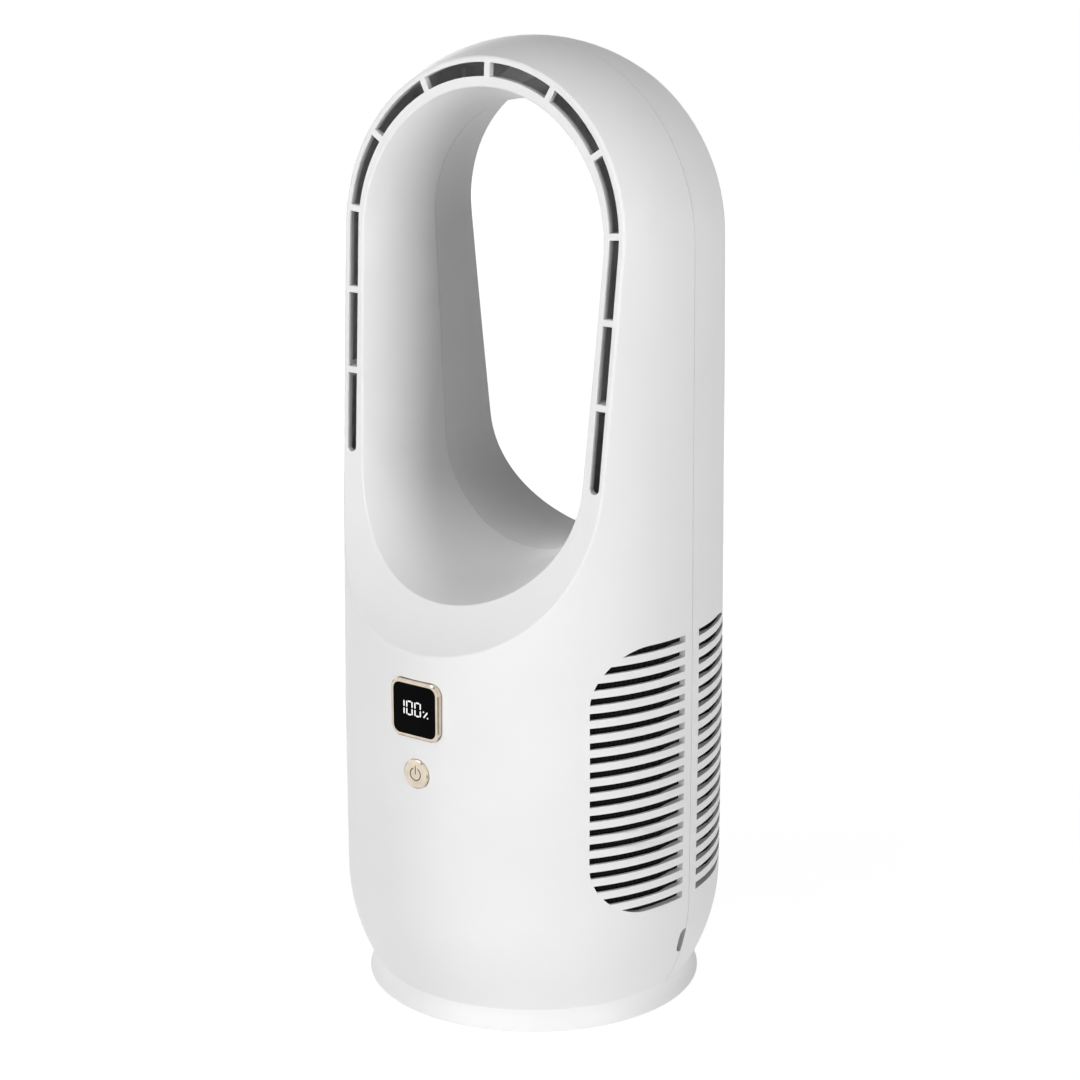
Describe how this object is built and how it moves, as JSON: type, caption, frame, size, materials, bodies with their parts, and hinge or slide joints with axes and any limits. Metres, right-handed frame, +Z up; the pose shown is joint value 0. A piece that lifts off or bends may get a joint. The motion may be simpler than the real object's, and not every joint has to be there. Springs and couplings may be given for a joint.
{
  "type": "bladeless fan",
  "caption": "Bladeless table fan: a round white body with side grilles, a display and a button, and a tall open loop with an air slot in its scooped front face.",
  "frame": {"origin": "on the upright axis of the round body, at the plane of the foot pads' undersides", "axes": "+Z up, -Y to the front with the display and the air slot, +X to the side that the picture shows"},
  "size_m": [0.13, 0.1309, 0.3252],
  "materials": {
    "shell_white": "glossy moulded off-white",
    "foot_white": "satin moulded white",
    "pad_rubber": "matte soft",
    "screw_steel": "zinc plated",
    "bezel_champagne": "satin champagne plating",
    "button_champagne": "satin champagne plating",
    "lens_dark": "high gloss",
    "module_dark": "matte",
    "board_green": "solder mask",
    "switch_black": "satin",
    "duct_dark": "fine texture",
    "impeller_dark": "satin",
    "motor_steel": "machined",
    "core_steel": "stacked laminations",
    "magnet_dark": "sintered",
    "tube_brass": "turned",
    "copper": "enamelled winding",
    "cell_wrap": "shrink wrap over a metal can",
    "tray_black": "moulded",
    "tab_nickel": "bright strip",
    "connector_white": "moulded",
    "net_black": "woven",
    "lead_black": "soft sleeve",
    "lead_red": "soft sleeve"
  },
  "bodies": {
    "case": {"dust_nets": "net_black", "front_housing": "shell_white", "rear_housing": "shell_white", "base_foot": "foot_white", "foot_pads": "pad_rubber", "base_screws": "screw_steel", "display_bezel": "bezel_champagne", "display_lens": "lens_dark", "display_module": "module_dark", "display_board": "board_green", "display_screws": "screw_steel", "tact_switch": "switch_black", "duct_deck": "duct_dark", "fan_duct": "duct_dark", "duct_screws": "screw_steel", "intake_bell": "duct_dark", "bearing_tube": "tube_brass", "motor_bearings": "motor_steel", "stator_core": "core_steel", "motor_windings": "copper", "motor_board": "board_green", "battery_cells": "cell_wrap", "battery_tray": "tray_black", "cell_tabs": "tab_nickel", "battery_clamps": "tray_black", "tray_screws": "screw_steel", "main_board": "board_green", "board_screws": "screw_steel", "board_connectors": "connector_white", "charge_board": "board_green", "charge_socket": "motor_steel", "battery_leads": "lead_red", "motor_lead": "lead_black", "display_lead": "lead_black", "charge_lead": "lead_black"},
    "rotor": {"rotor_can": "motor_steel", "rotor_magnet": "magnet_dark", "motor_shaft": "motor_steel", "impeller": "impeller_dark", "impeller_nut": "screw_steel"},
    "button": {"power_button": "button_champagne", "switch_plunger": "switch_black"}
  },
  "joints": [
    {"name": "impeller_spin", "type": "hinge", "parent": "case", "child": "rotor", "pos_m": [0, 0, 0.1], "axis": [0, 0, 1], "continuous": true},
    {"name": "button_press", "type": "slide", "parent": "case", "child": "button", "axis": [0, 1, 0], "range_m": [0, 0.0006], "stiffness_N_per_m": 800}
  ]
}
